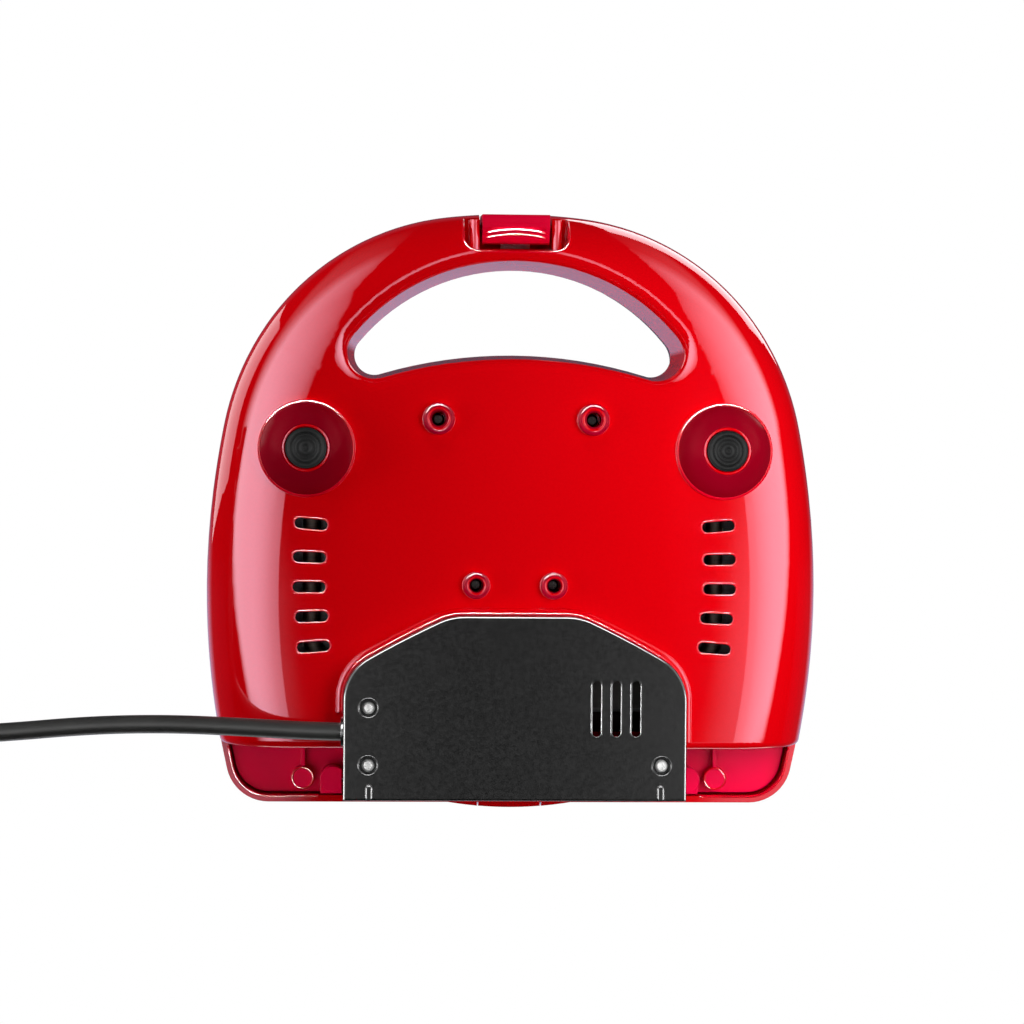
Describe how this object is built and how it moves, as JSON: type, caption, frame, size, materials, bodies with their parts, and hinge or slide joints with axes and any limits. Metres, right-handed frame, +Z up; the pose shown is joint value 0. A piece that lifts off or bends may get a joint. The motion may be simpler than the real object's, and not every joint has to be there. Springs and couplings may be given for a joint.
{
  "type": "electric sandwich maker",
  "caption": "Closed clamshell electric sandwich maker with a carrying-handle loop, front latch, rear hinge, heated plates inside, feet, rear service cover and mains cord.",
  "frame": {"origin": "middle of the footprint, on the surface that the feet stand on", "axes": "+X to the right seen from the front, -Y towards the handle and latch, +Y towards the hinge, +Z up"},
  "size_m": [0.4231, 0.2269, 0.09],
  "materials": {
    "red_shell": "glossy moulded phenolic or PBT, red",
    "red_frame": "satin moulded plastic, darker red",
    "rubber_pad": "matt black rubber, moulded rings",
    "black_plastic": "black, finely textured",
    "plug_plastic": "black, satin",
    "tie_plastic": "black, plastic-covered wire",
    "screw_steel": "zinc-plated steel",
    "terminal_brass": "turned brass",
    "plate_coated": "cast aluminium with a dark non-stick coating",
    "element_sheath": "heat-darkened steel sheath",
    "shield_sheet": "thin bright sheet",
    "thermostat_can": "pressed steel can",
    "fuse_sleeve": "woven glass sleeve",
    "terminal_white": "white moulded block",
    "wire_insulation": "silicone insulation, brown, blue and green-yellow",
    "pin_steel": "ground steel rod",
    "spring_steel": "spring strip",
    "board_plastic": "laminate strip",
    "lens_red": "clear tinted red",
    "lens_green": "clear tinted green",
    "cord_pvc": "black flexible PVC sheath",
    "plug_metal": "nickel-plated brass"
  },
  "bodies": {
    "base": {"base_shell": "red_shell", "lower_frame": "red_frame", "foot_pads": "rubber_pad", "rear_cover": "black_plastic", "cord_bush": "black_plastic", "cord_clamp": "black_plastic", "plug_body": "plug_plastic", "cord_tie": "tie_plastic", "cover_screws": "screw_steel", "plate_screws_lower": "screw_steel", "frame_screws_lower": "screw_steel", "clamp_screws": "screw_steel", "terminal_screws": "terminal_brass", "lower_plate": "plate_coated", "lower_element": "element_sheath", "lower_heat_shield": "shield_sheet", "thermostat": "thermostat_can", "thermal_fuse": "fuse_sleeve", "terminal_block": "terminal_white", "internal_wires": "wire_insulation", "hinge_pins": "pin_steel", "latch_catch": "spring_steel", "cord": "cord_pvc", "cord_coil": "cord_pvc", "cord_tail": "cord_pvc", "plug_pins": "plug_metal", "plug_earth_clips": "plug_metal"},
    "lid": {"lid_shell": "red_shell", "rear_cap": "red_shell", "upper_frame": "red_frame", "frame_screws_upper": "screw_steel", "upper_plate": "plate_coated", "upper_element": "element_sheath", "upper_heat_shield": "shield_sheet", "lamp_holder": "board_plastic", "power_lens": "lens_red", "ready_lens": "lens_green", "latch_pin": "pin_steel"},
    "latch": {"latch": "red_shell"}
  },
  "joints": [
    {"name": "lid_hinge", "type": "hinge", "parent": "base", "child": "lid", "pos_m": [0, 0.1029, 0.04225], "axis": [-1, 0, 0], "range_deg": [0, 100], "deforming": ["latch_catch"]},
    {"name": "latch_pivot", "type": "hinge", "parent": "lid", "child": "latch", "pos_m": [0, -0.107, 0.055], "axis": [-1, 0, 0], "range_deg": [0, 45]}
  ]
}
